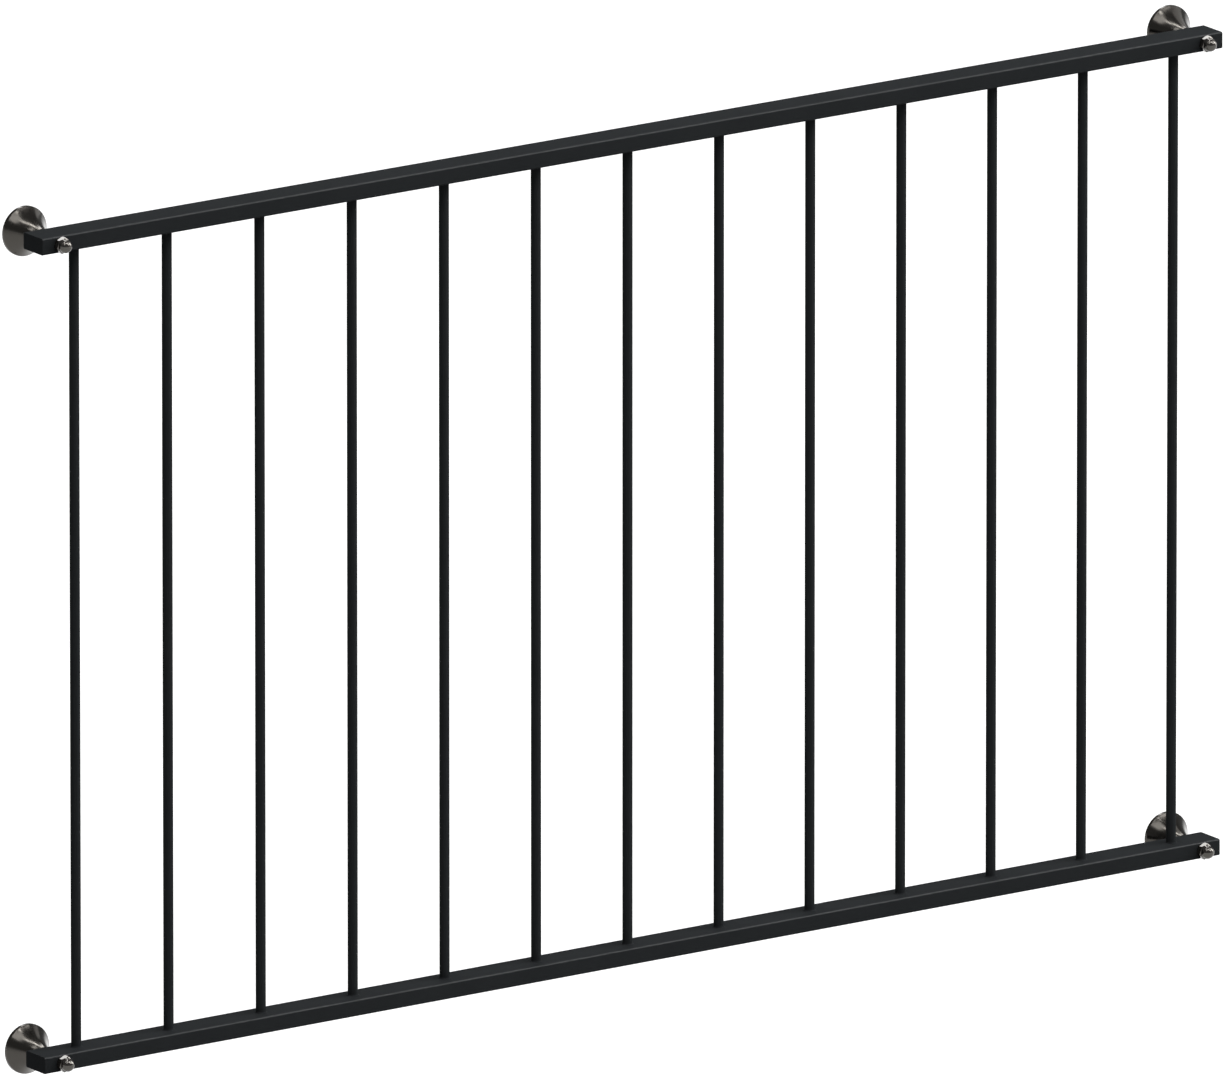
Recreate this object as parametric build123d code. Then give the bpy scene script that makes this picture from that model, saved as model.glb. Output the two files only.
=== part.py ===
from build123d import *
import math
import os

# Juliet balcony railing, in millimetres.
# Two flat rails of rectangular tube carry upright round bars. At each corner a turned
# rosette spaces the rail off the wall, and a domed cap nut closes the fixing in front.
# +X runs along the railing to the right, +Y goes into the wall and +Z is up.
# The origin is the centre of the lower left rosette's seat on the wall.

# Upright bars
BAR_COUNT = 13
BAR_PITCH = 130.0
BAR_DIAMETER = 12.0
BAR_TAIL = 3.0
BAR_CLEARANCE = 0.1

# Rails of rectangular tube, laid flat
RAIL_SPACING = 987.0
RAIL_DEPTH = 40.0
RAIL_HEIGHT = 20.0
RAIL_OVERHANG = 57.0
TUBE_WALL = 2.0
TUBE_OUTER_CORNER = 2.0
TUBE_INNER_CORNER = 0.6
END_PLATE_THICKNESS = 2.0
END_PLATE_ROUND = 0.5

# Wall fixings
FIXING_INSET = 25.0
BOLT_HOLE_DIAMETER = 11.0
STANDOFF = 37.0
ROSETTE_DIAMETER = 60.0
ROSETTE_RIM_THICKNESS = 4.0
ROSETTE_RIM_ROUND = 2.0
FLARE_RADIUS = 90.0
NECK_DIAMETER = 20.0

# Domed cap nuts
NUT_ACROSS_FLATS = 17.0
NUT_FACE_DIAMETER = 15.8
NUT_HEX_HEIGHT = 8.0
NUT_CHAMFER_ANGLE = 30.0
NUT_TURN = 14.0
NUT_GROOVE_WIDTH = 1.0
NUT_GROOVE_DEPTH = 0.7
NUT_DOME_DIAMETER = 16.0
NUT_DOME_SIDE = 1.0
NUT_BORE_DIAMETER = 8.5
NUT_BORE_DEPTH = 13.0

# Places worked out from the sizes above
RAIL_LENGTH = (BAR_COUNT - 1) * BAR_PITCH + 2 * RAIL_OVERHANG
RAIL_LEFT = -FIXING_INSET
RAIL_RIGHT = RAIL_LEFT + RAIL_LENGTH
RAIL_BACK = -STANDOFF
RAIL_MIDDLE = RAIL_BACK - RAIL_DEPTH / 2
RAIL_FRONT = RAIL_BACK - RAIL_DEPTH
TUBE_LENGTH = RAIL_LENGTH - 2 * END_PLATE_THICKNESS
FIXING_X = {"left": 0.0, "right": RAIL_LENGTH - 2 * FIXING_INSET}
RAIL_Z = {"bottom": 0.0, "top": RAIL_SPACING}
BAR_SIDE = {"bottom": 1, "top": -1}
BAR_X = [RAIL_LEFT + RAIL_OVERHANG + i * BAR_PITCH for i in range(BAR_COUNT)]
BAR_LENGTH = RAIL_SPACING - RAIL_HEIGHT + 2 * (TUBE_WALL + BAR_TAIL)
NUT_BLANK_DIAMETER = 1.2 * NUT_ACROSS_FLATS


def rail_outline():
    """The tube's outer section, standing in the plane across the rail."""
    return Plane.YZ * RectangleRounded(RAIL_DEPTH, RAIL_HEIGHT, TUBE_OUTER_CORNER)


def rail_tube(level):
    """One rail: the tube, punched for the bars on one side and bored for the fixings."""
    hollow = Plane.YZ * RectangleRounded(
        RAIL_DEPTH - 2 * TUBE_WALL, RAIL_HEIGHT - 2 * TUBE_WALL, TUBE_INNER_CORNER
    )
    tube = extrude(rail_outline() - hollow, TUBE_LENGTH)
    tube = Pos(RAIL_LEFT + END_PLATE_THICKNESS, RAIL_MIDDLE, RAIL_Z[level]) * tube
    wall_z = RAIL_Z[level] + BAR_SIDE[level] * (RAIL_HEIGHT - TUBE_WALL) / 2
    punch = Cylinder(BAR_DIAMETER / 2 + BAR_CLEARANCE, 2 * TUBE_WALL)
    drill = Rot(X=90) * Cylinder(BOLT_HOLE_DIAMETER / 2, 2 * RAIL_DEPTH)
    punched = [Pos(x, RAIL_MIDDLE, wall_z) * punch for x in BAR_X]
    bored = [Pos(x, RAIL_MIDDLE, RAIL_Z[level]) * drill for x in FIXING_X.values()]
    return tube - punched - bored


def end_plate(level, side):
    """A plate with the tube's outline that closes one end of a rail."""
    plate = extrude(rail_outline(), END_PLATE_THICKNESS)
    outer_face = plate.faces().sort_by(Axis.X)[-1]
    plate = fillet(outer_face.edges(), END_PLATE_ROUND)
    if side == "left":
        return Pos(RAIL_LEFT + END_PLATE_THICKNESS, RAIL_MIDDLE, RAIL_Z[level]) * Rot(Z=180) * plate
    return Pos(RAIL_RIGHT - END_PLATE_THICKNESS, RAIL_MIDDLE, RAIL_Z[level]) * plate


def bar(x):
    """One upright bar, with a tail through the wall of each rail."""
    return Pos(x, RAIL_MIDDLE, RAIL_SPACING / 2) * Cylinder(BAR_DIAMETER / 2, BAR_LENGTH)


def rosette():
    """A turned trumpet: a thin rim on the wall that flares in one hollow sweep to the rail."""
    rim = ROSETTE_DIAMETER / 2
    bore = BOLT_HOLE_DIAMETER / 2
    rim_front = (rim, -ROSETTE_RIM_THICKNESS)
    neck_end = (NECK_DIAMETER / 2, RAIL_BACK)
    outline = [
        Polyline(neck_end, (bore, RAIL_BACK), (bore, 0), (rim, 0), rim_front),
        RadiusArc(neck_end, rim_front, FLARE_RADIUS),
    ]
    turned = revolve(make_face(outline), Axis.Y)
    rim_side = turned.faces().filter_by(GeomType.CYLINDER).sort_by(SortBy.RADIUS)[-1]
    rim_edge = rim_side.edges().filter_by(GeomType.CIRCLE).sort_by(Axis.Y)[0]
    return fillet(rim_edge, ROSETTE_RIM_ROUND)


def nut_blank():
    """The turned envelope of the nut's hexagon, chamfered at both ends."""
    face = NUT_FACE_DIAMETER / 2
    side = NUT_BLANK_DIAMETER / 2
    rise = (side - face) * math.tan(math.radians(NUT_CHAMFER_ANGLE))
    outline = Polyline(
        (0, 0),
        (face, 0),
        (side, -rise),
        (side, rise - NUT_HEX_HEIGHT),
        (face, -NUT_HEX_HEIGHT),
        (0, -NUT_HEX_HEIGHT),
        close=True,
    )
    return revolve(make_face(outline), Axis.Y)


def nut_dome():
    """The nut's round end: a groove, a short straight side and half a ball."""
    dome = NUT_DOME_DIAMETER / 2
    groove = dome - NUT_GROOVE_DEPTH
    dome_start = -NUT_HEX_HEIGHT - NUT_GROOVE_WIDTH
    ball_centre = dome_start - NUT_DOME_SIDE
    outline = [
        Line((0, -NUT_HEX_HEIGHT), (groove, -NUT_HEX_HEIGHT)),
        Line((groove, -NUT_HEX_HEIGHT), (groove, dome_start)),
        Line((groove, dome_start), (dome, dome_start)),
        Line((dome, dome_start), (dome, ball_centre)),
        CenterArc((0, ball_centre), dome, 0, -90),
        Line((0, ball_centre - dome), (0, -NUT_HEX_HEIGHT)),
    ]
    return revolve(make_face(outline), Axis.Y)


def cap_nut():
    """A domed cap nut that stands on the rail's front, with its blind bore facing the rail."""
    flats = RegularPolygon(NUT_ACROSS_FLATS / 2, 6, major_radius=False, rotation=NUT_TURN)
    hexagon = extrude(Plane.XZ * flats, NUT_HEX_HEIGHT) & nut_blank()
    bore = Pos(Y=-NUT_BORE_DEPTH / 2) * Rot(X=90) * Cylinder(NUT_BORE_DIAMETER / 2, NUT_BORE_DEPTH)
    return Pos(Y=RAIL_FRONT) * (hexagon + nut_dome() - bore)


def railing():
    """Every piece of the railing, by its name."""
    pieces = {}
    for level in RAIL_Z:
        pieces[f"{level}_rail"] = rail_tube(level)
        for side in FIXING_X:
            corner = f"{level}_{side}"
            place = Pos(FIXING_X[side], 0, RAIL_Z[level])
            pieces[f"{level}_rail_{side}_end"] = end_plate(level, side)
            pieces[f"rosette_{corner}"] = place * rosette()
            pieces[f"cap_nut_{corner}"] = place * cap_nut()
    for number, x in enumerate(BAR_X, start=1):
        pieces[f"bar_{number:02d}"] = bar(x)
    return pieces


os.makedirs("parts", exist_ok=True)
for name, piece in railing().items():
    export_step(piece, f"parts/{name}.step")
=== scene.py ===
"""Looks of a juliet balcony railing: a powder-coated steel frame on four turned wall fittings."""

import logging
import math
from dataclasses import dataclass
from enum import Enum
from typing import Any, Union

import bmesh
import bpy
from mathutils import Matrix, Vector


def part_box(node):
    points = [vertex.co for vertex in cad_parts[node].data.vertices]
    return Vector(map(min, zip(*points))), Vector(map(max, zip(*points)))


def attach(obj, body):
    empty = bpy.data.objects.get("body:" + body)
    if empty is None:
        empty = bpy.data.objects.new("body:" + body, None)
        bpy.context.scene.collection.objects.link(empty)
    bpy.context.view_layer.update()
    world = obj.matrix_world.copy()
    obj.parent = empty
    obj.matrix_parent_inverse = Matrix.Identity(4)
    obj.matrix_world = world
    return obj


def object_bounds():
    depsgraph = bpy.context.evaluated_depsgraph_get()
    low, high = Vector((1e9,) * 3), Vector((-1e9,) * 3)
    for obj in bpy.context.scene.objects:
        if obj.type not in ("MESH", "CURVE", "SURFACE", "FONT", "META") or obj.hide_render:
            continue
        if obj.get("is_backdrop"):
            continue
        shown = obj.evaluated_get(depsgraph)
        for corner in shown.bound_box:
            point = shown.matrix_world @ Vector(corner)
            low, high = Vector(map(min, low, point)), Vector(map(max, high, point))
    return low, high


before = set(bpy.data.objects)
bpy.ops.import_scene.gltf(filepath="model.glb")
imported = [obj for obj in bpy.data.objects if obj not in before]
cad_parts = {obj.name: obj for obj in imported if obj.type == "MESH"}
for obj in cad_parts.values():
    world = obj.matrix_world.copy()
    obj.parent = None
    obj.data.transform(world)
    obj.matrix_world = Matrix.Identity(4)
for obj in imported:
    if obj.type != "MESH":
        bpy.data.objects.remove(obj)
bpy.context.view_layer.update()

LOG = logging.getLogger("juliet_railing")
BODY = "root"
IMAGE_WIDTH = 1226
IMAGE_HEIGHT = 1076
MM = 0.001

# Places of a Mix node's colour sockets
MIX_SHARE = 0
MIX_FIRST = 6
MIX_SECOND = 7
MIX_RESULT = 2

Colour = tuple[float, float, float]
Value = Union["Sock", float]


class Level(Enum):
    """The two heights that carry a rail."""

    BOTTOM = "bottom"
    TOP = "top"


class Side(Enum):
    """The two ends of a rail."""

    LEFT = "left"
    RIGHT = "right"


class Slot(Enum):
    """The material slots of the record."""

    COAT = "powder_coat"
    STEEL = "satin_steel"


class Sock:
    """A shader value that adds Math nodes when it is used in an expression."""

    def __init__(self, graph: "Graph", socket: bpy.types.NodeSocket) -> None:
        """Keep the socket and the graph that holds it."""
        self.graph = graph
        self.socket = socket

    def __add__(self, other: Value) -> "Sock":
        """This value plus another."""
        return self.graph.maths("ADD", self, other)

    def __radd__(self, other: Value) -> "Sock":
        """Another value plus this one."""
        return self.graph.maths("ADD", other, self)

    def __sub__(self, other: Value) -> "Sock":
        """This value less another."""
        return self.graph.maths("SUBTRACT", self, other)

    def __mul__(self, other: Value) -> "Sock":
        """This value times another."""
        return self.graph.maths("MULTIPLY", self, other)

    def __truediv__(self, other: Value) -> "Sock":
        """This value divided by another."""
        return self.graph.maths("DIVIDE", self, other)

    def __gt__(self, other: Value) -> "Sock":
        """One where this value is the greater, and zero elsewhere."""
        return self.graph.maths("GREATER_THAN", self, other)

    def __pow__(self, other: Value) -> "Sock":
        """This value to a power."""
        return self.graph.maths("POWER", self, other)

    def __abs__(self) -> "Sock":
        """This value without its sign."""
        return self.graph.maths("ABSOLUTE", self)


class Graph:
    """The node tree of one finish, with one method that makes its nodes."""

    def __init__(self, tree: bpy.types.NodeTree) -> None:
        """Start from an empty tree."""
        self.tree = tree
        tree.nodes.clear()

    def node(
        self,
        kind: str,
        settings: dict[str, Any] | None = None,
        sockets: dict[str | int, Any] | None = None,
    ) -> bpy.types.Node:
        """Make one node.

        Args:
            kind: The node's type.
            settings: Its own properties, set first; stops fills a colour ramp.
            sockets: Values or links of its input sockets, by name or by number.

        Returns:
            The new node.
        """
        made = self.tree.nodes.new(kind)
        for name, value in (settings or {}).items():
            if name == "stops":
                self.fill_ramp(made.color_ramp, value)
            else:
                setattr(made, name, value)
        for key, value in (sockets or {}).items():
            if isinstance(value, Sock):
                self.tree.links.new(value.socket, made.inputs[key])
            else:
                made.inputs[key].default_value = value
        return made

    @staticmethod
    def fill_ramp(ramp: bpy.types.ColorRamp, stops: list[tuple[float, Colour]]) -> None:
        """Give a colour ramp its stops.

        Args:
            ramp: The ramp to fill.
            stops: Places from 0 to 1, each with its colour.
        """
        while len(ramp.elements) < len(stops):
            ramp.elements.new(1.0)
        for element, (place, colour) in zip(ramp.elements, stops):
            element.position = place
            element.color = (*colour, 1.0)

    def out(self, node: bpy.types.Node, name: str | int = 0) -> Sock:
        """Wrap one output of a node."""
        return Sock(self, node.outputs[name])

    def maths(self, operation: str, first: Value, second: Value = 0.0) -> Sock:
        """Add one Math node and wrap its result."""
        return self.out(self.node("ShaderNodeMath", {"operation": operation}, {0: first, 1: second}))

    def share(self, value: Sock) -> Sock:
        """Keep a value between 0 and 1."""
        return self.out(self.node("ShaderNodeClamp", sockets={"Value": value}))

    def position(self) -> Sock:
        """The place on the object, in metres in the railing's own frame."""
        return self.out(self.node("ShaderNodeTexCoord"), "Object")

    def axes(self, vector: Sock) -> tuple[Sock, Sock, Sock]:
        """Split a vector into its three values."""
        split = self.node("ShaderNodeSeparateXYZ", sockets={0: vector})
        return self.out(split, 0), self.out(split, 1), self.out(split, 2)

    def noise(self, vector: Sock, grain: float, detail: float = 2.0) -> Sock:
        """Noise from 0 to 1 with features of about one grain, in metres."""
        sockets = {"Vector": vector, "Scale": 1.0 / grain, "Detail": detail}
        return self.out(self.node("ShaderNodeTexNoise", {"noise_dimensions": "3D"}, sockets))

    def blend(self, share: Sock, first: Colour, second: Colour) -> Sock:
        """Mix two colours by a share from 0 to 1."""
        settings = {"data_type": "RGBA", "blend_type": "MIX"}
        sockets = {MIX_SHARE: share, MIX_FIRST: (*first, 1.0), MIX_SECOND: (*second, 1.0)}
        return self.out(self.node("ShaderNodeMix", settings, sockets), MIX_RESULT)

    def bump(self, height: Sock, depth: float, strength: float) -> Sock:
        """Turn a height from 0 to 1 into a normal.

        Args:
            height: The height over the surface.
            depth: What a height of 1 stands for, in metres.
            strength: The bump's share, from 0 to 1.

        Returns:
            The normal for a shader.
        """
        sockets = {"Height": height, "Distance": depth, "Strength": strength}
        return self.out(self.node("ShaderNodeBump", sockets=sockets))

    def surface(self, shader: Sock, output: str = "ShaderNodeOutputMaterial") -> None:
        """Send a shader to the output."""
        self.node(output, sockets={"Surface": shader})


def new_material(name: str) -> tuple[bpy.types.Material, Graph]:
    """Make an empty node material.

    Args:
        name: The finish's name.

    Returns:
        The material and its graph.
    """
    material = bpy.data.materials.new(name)
    material.use_nodes = True
    return material, Graph(material.node_tree)


def tinted(colour: Colour, share: float) -> Colour:
    """A colour made darker or lighter by a share."""
    return tuple(channel * share for channel in colour)


@dataclass(frozen=True)
class RailEdges:
    """Where the rails' long upper edges lie."""

    middle: float
    half_depth: float
    half_height: float
    between: float
    rounding: float = 2 * MM

    def mask(self, graph: Graph, place: Sock) -> Sock:
        """Mark the rounded upper edges.

        Args:
            graph: The graph that takes the nodes.
            place: The place on the railing.

        Returns:
            One in the middle of each rounding, and zero on the flat faces.
        """
        _, y, z = graph.axes(place)
        over = z - (z > self.between / 2) * self.between
        out = abs(y - self.middle) - (self.half_depth - self.rounding)
        up = over - (self.half_height - self.rounding)
        reach = self.rounding * math.sqrt(0.5)
        return graph.share(out / reach) * graph.share(up / reach)


@dataclass(frozen=True)
class PowderCoat:
    """Black polyester powder, baked on: satin, with a fine orange peel and edges rubbed glossier."""

    name: str = "black_powder_coat"
    colour: Colour = (0.0148, 0.0162, 0.0172)
    mottle: float = 0.12
    mottle_grain: float = 60 * MM
    mottle_detail: float = 3.0
    peel_grain: float = 1.6 * MM
    peel_depth: float = 0.012 * MM
    flow_grain: float = 7 * MM
    roughness: float = 0.36
    roughness_spread: float = 0.08
    specular: float = 0.001
    rub_gloss: float = 0.45
    rub_least: float = 0.7
    rub_spread: float = 0.6
    rub_roughness: float = 0.3

    def material(self, edges: RailEdges) -> bpy.types.Material:
        """Make the coat's material.

        Args:
            edges: The edges that hands and sleeves have rubbed.

        Returns:
            The material for the rails, the bars and the welds.
        """
        material, graph = new_material(self.name)
        place = graph.position()
        mottle = graph.noise(place, self.mottle_grain, self.mottle_detail)
        flow = graph.noise(place, self.flow_grain)
        peel = graph.noise(place, self.peel_grain)
        dark = tinted(self.colour, 1.0 - self.mottle)
        light = tinted(self.colour, 1.0 + self.mottle)
        rubbed = edges.mask(graph, place) * (self.rub_least + flow * self.rub_spread)
        shader = graph.node(
            "ShaderNodeBsdfPrincipled",
            sockets={
                "Base Color": graph.blend(mottle, dark, light),
                "Roughness": flow * self.roughness_spread + (self.roughness - self.roughness_spread / 2),
                "Specular IOR Level": self.specular,
                "Coat Weight": rubbed * self.rub_gloss,
                "Coat Roughness": self.rub_roughness,
                "Normal": graph.bump(peel, self.peel_depth, 1.0),
            },
        )
        graph.surface(graph.out(shader))
        return material


@dataclass(frozen=True)
class TurnedSteel:
    """Dark nickelled steel with the fine rings that a lathe leaves round each fixing."""

    name: str = "turned_steel"
    colour: Colour = (0.0625, 0.0585, 0.0530)
    cloud: float = 0.10
    cloud_grain: float = 14 * MM
    cloud_detail: float = 3.0
    ring_pitch: float = 0.45 * MM
    ring_depth: float = 0.0012 * MM
    ring_detail: float = 1.0
    roughness: float = 0.18
    roughness_spread: float = 0.05
    metallic: float = 1.0

    def material(self, across: float, up: float) -> bpy.types.Material:
        """Make the steel's material.

        Args:
            across: Distance between the left and right fixings.
            up: Distance between the bottom and top fixings.

        Returns:
            The material, with its rings centred on the nearest fixing.
        """
        material, graph = new_material(self.name)
        place = graph.position()
        x, y, z = graph.axes(place)
        from_x = x - (x > across / 2) * across
        from_z = z - (z > up / 2) * up
        radius = (from_x * from_x + from_z * from_z) ** 0.5
        along = (radius + y) / self.ring_pitch
        sockets = {"W": along, "Scale": 1.0, "Detail": self.ring_detail}
        rings = graph.out(graph.node("ShaderNodeTexNoise", {"noise_dimensions": "1D"}, sockets))
        cloud = graph.noise(place, self.cloud_grain, self.cloud_detail)
        dark = tinted(self.colour, 1.0 - self.cloud)
        light = tinted(self.colour, 1.0 + self.cloud)
        low = self.roughness - self.roughness_spread / 2
        shader = graph.node(
            "ShaderNodeBsdfPrincipled",
            sockets={
                "Base Color": graph.blend(cloud, dark, light),
                "Metallic": self.metallic,
                "Roughness": rings * self.roughness_spread + low,
                "Normal": graph.bump(rings, self.ring_depth, 1.0),
            },
        )
        graph.surface(graph.out(shader))
        return material


NUT_PLATING = TurnedSteel("plated_nut_steel", (0.078, 0.074, 0.067), roughness=0.11, metallic=0.88)


@dataclass(frozen=True)
class PaleFloor:
    """A pale studio floor that looks white and still takes the railing's shadow."""

    name: str = "pale_floor"
    colour: Colour = (0.30, 0.30, 0.30)
    glow: float = 0.76

    def material(self) -> bpy.types.Material:
        """Make the floor's material."""
        material, graph = new_material(self.name)
        path = graph.node("ShaderNodeLightPath")
        seen = (
            graph.out(path, "Is Camera Ray")
            + graph.out(path, "Is Glossy Ray")
            + graph.out(path, "Is Transmission Ray")
        )
        plain = graph.out(graph.node("ShaderNodeBsdfDiffuse", sockets={"Color": (*self.colour, 1.0)}))
        white = (1.0, 1.0, 1.0, 1.0)
        glow = graph.out(graph.node("ShaderNodeEmission", sockets={"Color": white, "Strength": self.glow}))
        lit = graph.out(graph.node("ShaderNodeAddShader", sockets={0: plain, 1: glow}))
        graph.surface(graph.out(graph.node("ShaderNodeMixShader", sockets={0: seen, 1: plain, 2: lit})))
        return material


def dress_node(name: str, material: bpy.types.Material) -> None:
    """Give a CAD node its finish.

    Args:
        name: The node's name.
        material: The finish for all its faces.
    """
    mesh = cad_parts[name].data
    mesh.materials.clear()
    mesh.materials.append(material)
    LOG.info("dressed %s in %s", name, material.name)


def add_piece(
    name: str, shape: bmesh.types.BMesh, material: bpy.types.Material
) -> None:
    """Make one piece, riding on the railing, from a mesh.

    Args:
        name: The piece's name.
        shape: Its mesh, in the railing's frame; it is freed here.
        material: Its finish.
    """
    mesh = bpy.data.meshes.new(name)
    bmesh.ops.recalc_face_normals(shape, faces=shape.faces)
    shape.to_mesh(mesh)
    shape.free()
    mesh.shade_smooth()
    mesh.materials.append(material)
    piece = bpy.data.objects.new(name, mesh)
    bpy.context.scene.collection.objects.link(piece)
    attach(piece, BODY)
    LOG.info("built %s with %d faces", name, len(mesh.polygons))


@dataclass
class Rail:
    """One rail of rectangular tube and the plates that close its ends."""

    level: Level

    @property
    def node(self) -> str:
        """The tube's node."""
        return f"{self.level.value}_rail"

    def bar_face(self) -> tuple[float, float]:
        """Where the bars meet the rail.

        Returns:
            The height of the face that the bars enter, and the way that they leave it: 1 or -1.
        """
        low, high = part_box(self.node)
        return (high.z, 1.0) if self.level is Level.BOTTOM else (low.z, -1.0)

    def dress(self, coat: bpy.types.Material) -> None:
        """Coat the tube and its end plates."""
        dress_node(self.node, coat)
        for side in Side:
            dress_node(f"{self.node}_{side.value}_end", coat)


@dataclass
class BarRow:
    """The row of upright bars and the small welds at their feet and heads."""

    count: int
    weld_leg: float = 1.7 * MM
    weld_root: float = 0.25 * MM
    weld_sides: int = 72
    weld_steps: int = 5
    ripples: int = 17
    ripple_share: float = 0.10

    def names(self) -> list[str]:
        """The bars' nodes, from left to right."""
        return [f"bar_{number:02d}" for number in range(1, self.count + 1)]

    def dress(self, coat: bpy.types.Material) -> None:
        """Coat every bar."""
        for name in self.names():
            dress_node(name, coat)

    def section(self, leg: float) -> list[tuple[float, float]]:
        """The weld's section: a hollow fillet, closed inside the bar and the rail.

        Args:
            leg: How far the weld reaches out along the rail and up the bar.

        Returns:
            Points as distance from the bar's side and height over the rail's face.
        """
        turn = math.pi / 2 / self.weld_steps
        arc = [
            (leg * (1.0 - math.sin(i * turn)), leg * (1.0 - math.cos(i * turn)))
            for i in range(self.weld_steps + 1)
        ]
        return arc + [(-self.weld_root, leg), (-self.weld_root, -self.weld_root), (leg, -self.weld_root)]

    def add_weld(self, shape: bmesh.types.BMesh, bar: str, rail: Rail) -> None:
        """Add the ring of weld where one bar meets one rail.

        Args:
            shape: The mesh that takes the ring.
            bar: The bar's node.
            rail: The rail that the bar enters.
        """
        low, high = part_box(bar)
        centre = (low + high) / 2
        bar_radius = (high.x - low.x) / 2
        face, way = rail.bar_face()
        rings = []
        for i in range(self.weld_sides):
            angle = 2 * math.pi * i / self.weld_sides
            ripple = abs(math.sin(angle * self.ripples / 2 + centre.x / MM))
            leg = self.weld_leg * (1.0 - self.ripple_share + self.ripple_share * ripple)
            ring = []
            for out, height in self.section(leg):
                reach = bar_radius + out
                spot = (
                    centre.x + reach * math.cos(angle),
                    centre.y + reach * math.sin(angle),
                    face + way * height,
                )
                ring.append(shape.verts.new(spot))
            rings.append(ring)
        for i, ring in enumerate(rings):
            after = rings[(i + 1) % self.weld_sides]
            for j, corner in enumerate(ring):
                k = (j + 1) % len(ring)
                shape.faces.new((corner, ring[k], after[k], after[j]))

    def build_welds(self, rail: Rail, coat: bpy.types.Material) -> None:
        """Weld every bar to one rail.

        Args:
            rail: The rail.
            coat: The finish, which covers the welds too.
        """
        shape = bmesh.new()
        for bar in self.names():
            self.add_weld(shape, bar, rail)
        add_piece(f"{rail.node}_welds", shape, coat)


@dataclass
class WallFitting:
    """One fixing: a turned rosette behind the rail and a domed cap nut before it."""

    level: Level
    side: Side

    def node(self, piece: str) -> str:
        """The node of one piece of this fitting."""
        return f"{piece}_{self.level.value}_{self.side.value}"

    def centre(self) -> Vector:
        """The middle of the rosette."""
        low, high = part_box(self.node("rosette"))
        return (low + high) / 2

    def dress(self, steel: bpy.types.Material, plating: bpy.types.Material) -> None:
        """Finish the rosette in turned steel and the nut in its own plating."""
        dress_node(self.node("rosette"), steel)
        dress_node(self.node("cap_nut"), plating)


def heading(bearing: float, rise: float) -> Vector:
    """The way to a point of the studio.

    Args:
        bearing: Degrees from the wall's side towards the railing's right.
        rise: Degrees over the horizon.

    Returns:
        A vector of length 1.
    """
    turn, lift = math.radians(bearing), math.radians(rise)
    return Vector((math.sin(turn) * math.cos(lift), math.cos(turn) * math.cos(lift), math.sin(lift)))


@dataclass(frozen=True)
class SoftBox:
    """A long soft lamp far from the railing, given by where its two ends stand and how wide it looks.

    The ends are pairs of bearing and rise, and the width is in degrees.
    """

    name: str
    start: tuple[float, float]
    end: tuple[float, float]
    width: float
    brightness: float
    distance: float = 20.0

    def build(self, target: Vector) -> None:
        """Hang the lamp and point it at the railing.

        Args:
            target: The point that it faces.
        """
        first, last = heading(*self.start), heading(*self.end)
        away = (first + last).normalized()
        along = (last - first).normalized()
        across = along.cross(away)
        lamp = bpy.data.lights.new(self.name, "AREA")
        lamp.shape = "RECTANGLE"
        lamp.size = 2 * self.distance * math.tan(math.radians(self.width / 2))
        lamp.size_y = 2 * self.distance * math.tan(first.angle(last) / 2)
        lamp.energy = self.brightness * math.pi * lamp.size * lamp.size_y
        holder = bpy.data.objects.new(self.name, lamp)
        turn = Matrix((across, along, away)).transposed().to_4x4()
        holder.matrix_world = Matrix.Translation(target + away * self.distance) @ turn
        holder.visible_camera = False
        bpy.context.scene.collection.objects.link(holder)
        LOG.info("hung lamp %s", self.name)


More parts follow.
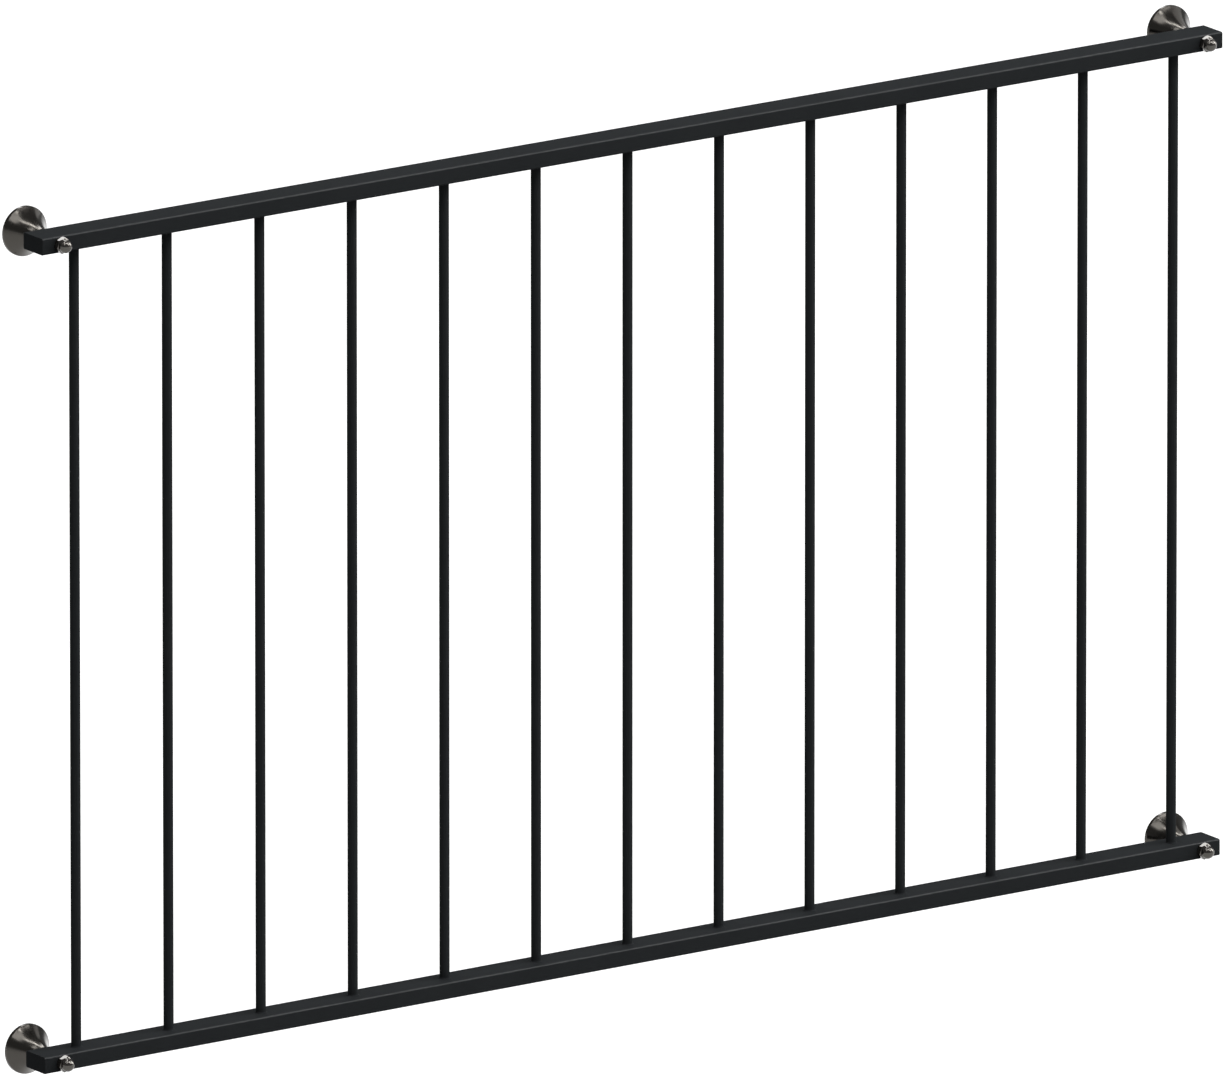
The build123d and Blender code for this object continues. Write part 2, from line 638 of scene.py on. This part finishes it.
@dataclass
class Studio:
    """The pale floor, the lamps, the dim room and the camera.

    The room is given by pairs of height over the horizon, from -1 to 1, and grey.
    """

    middle: Vector
    floor_drop: float = 1.0
    floor_reach: float = 60.0
    room: tuple[tuple[float, float], ...] = ((-1.0, 1.0), (0.02, 1.0), (0.10, 0.22), (1.0, 0.22))
    view_turn: float = 34.5033
    view_rise: float = 15.2727
    view_distance: float = 59.0412
    view_offset: tuple[float, float] = (-20.578 * MM, 13.76 * MM)
    lens: float = 1480.0
    far_clip: float = 250.0

    lamps: tuple[SoftBox, ...] = (
        SoftBox("back_window", start=(25.0, 26.0), end=(24.0, 57.0), width=12.0, brightness=4.6),
        SoftBox("arch_back", start=(52.0, 41.0), end=(25.0, 68.0), width=5.0, brightness=11.0),
        SoftBox("arch_right", start=(25.0, 68.0), end=(-53.0, 81.0), width=5.0, brightness=6.7),
        SoftBox("arch_left", start=(20.0, 73.5), end=(-114.0, 62.0), width=5.0, brightness=10.5),
        SoftBox("left_front", start=(-139.5, 70.0), end=(-126.5, 37.5), width=17.5, brightness=3.5),
        SoftBox("left_bar", start=(-54.5, 71.0), end=(-84.0, 44.5), width=3.5, brightness=7.4),
        SoftBox("side_arch", start=(112.0, 52.0), end=(165.0, 65.0), width=7.0, brightness=7.6),
        SoftBox("side_strip", start=(121.0, 43.0), end=(99.0, 6.0), width=24.0, brightness=10.5),
        SoftBox("front_arch", start=(-160.0, 66.0), end=(142.0, 22.0), width=8.0, brightness=14.3),
        SoftBox(
            "right_panel", start=(75.0, 26.0), end=(75.0, 51.0), width=25.0, brightness=1.0, distance=2.2
        ),
    )

    def build_floor(self, material: bpy.types.Material) -> None:
        """Lay the floor below the railing."""
        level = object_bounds()[0][2] - self.floor_drop
        shape = bmesh.new()
        bmesh.ops.create_grid(shape, x_segments=1, y_segments=1, size=self.floor_reach)
        mesh = bpy.data.meshes.new("floor")
        shape.to_mesh(mesh)
        shape.free()
        mesh.materials.append(material)
        floor = bpy.data.objects.new("floor", mesh)
        floor.location = (self.middle.x, self.middle.y, level)
        bpy.context.scene.collection.objects.link(floor)
        floor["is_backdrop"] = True

    def build_room(self) -> None:
        """Make the room dim above the horizon and as pale as the floor below it."""
        world = bpy.data.worlds.new("studio_room")
        world.use_nodes = True
        bpy.context.scene.world = world
        graph = Graph(world.node_tree)
        way = graph.out(graph.node("ShaderNodeTexCoord"), "Generated")
        height = graph.axes(way)[2]
        stops = [((place + 1.0) / 2.0, (grey, grey, grey)) for place, grey in self.room]
        tone = graph.out(graph.node("ShaderNodeValToRGB", {"stops": stops}, {0: height * 0.5 + 0.5}))
        light = graph.out(graph.node("ShaderNodeBackground", sockets={"Color": tone}))
        graph.surface(light, "ShaderNodeOutputWorld")

    def build_lamps(self) -> None:
        """Hang every lamp."""
        for lamp in self.lamps:
            lamp.build(self.middle)

    def build_camera(self) -> None:
        """Set the camera at the photograph's viewing angle."""
        camera = bpy.data.cameras.new("camera")
        camera.sensor_fit = "HORIZONTAL"
        camera.lens = self.lens
        camera.clip_end = self.far_clip
        holder = bpy.data.objects.new("camera", camera)
        turn, rise = math.radians(self.view_turn), math.radians(self.view_rise)
        back = Vector((-math.sin(turn) * math.cos(rise), -math.cos(turn) * math.cos(rise), math.sin(rise)))
        target = self.middle + Vector((self.view_offset[0], 0.0, self.view_offset[1]))
        holder.location = target + back * self.view_distance
        holder.rotation_euler = back.to_track_quat("Z", "Y").to_euler()
        bpy.context.scene.collection.objects.link(holder)
        bpy.context.scene.camera = holder

    def build(self, floor: PaleFloor) -> None:
        """Set up the whole studio."""
        self.build_floor(floor.material())
        self.build_room()
        self.build_lamps()
        self.build_camera()
        bpy.context.scene.view_settings.view_transform = "Standard"


def main() -> None:
    """Dress the railing piece by piece and set up the studio."""
    logging.basicConfig(level=logging.INFO)
    rails = [Rail(level) for level in Level]
    fittings = [WallFitting(level, side) for level in Level for side in Side]
    span = fittings[-1].centre() - fittings[0].centre()
    rail_low, rail_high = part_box(rails[0].node)
    middle = (rail_low + rail_high) / 2
    half = (rail_high - rail_low) / 2
    coat = PowderCoat().material(RailEdges(middle.y, half.y, half.z, span.z))
    bars = BarRow(count=sum(name.startswith("bar_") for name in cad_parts))
    bars.dress(coat)
    for rail in rails:
        rail.dress(coat)
        bars.build_welds(rail, coat)
    steel = TurnedSteel().material(span.x, span.z)
    plating = NUT_PLATING.material(span.x, span.z)
    for fitting in fittings:
        fitting.dress(steel, plating)
    Studio(middle + Vector((0.0, 0.0, span.z / 2))).build(PaleFloor())


if __name__ == "__main__":
    main()
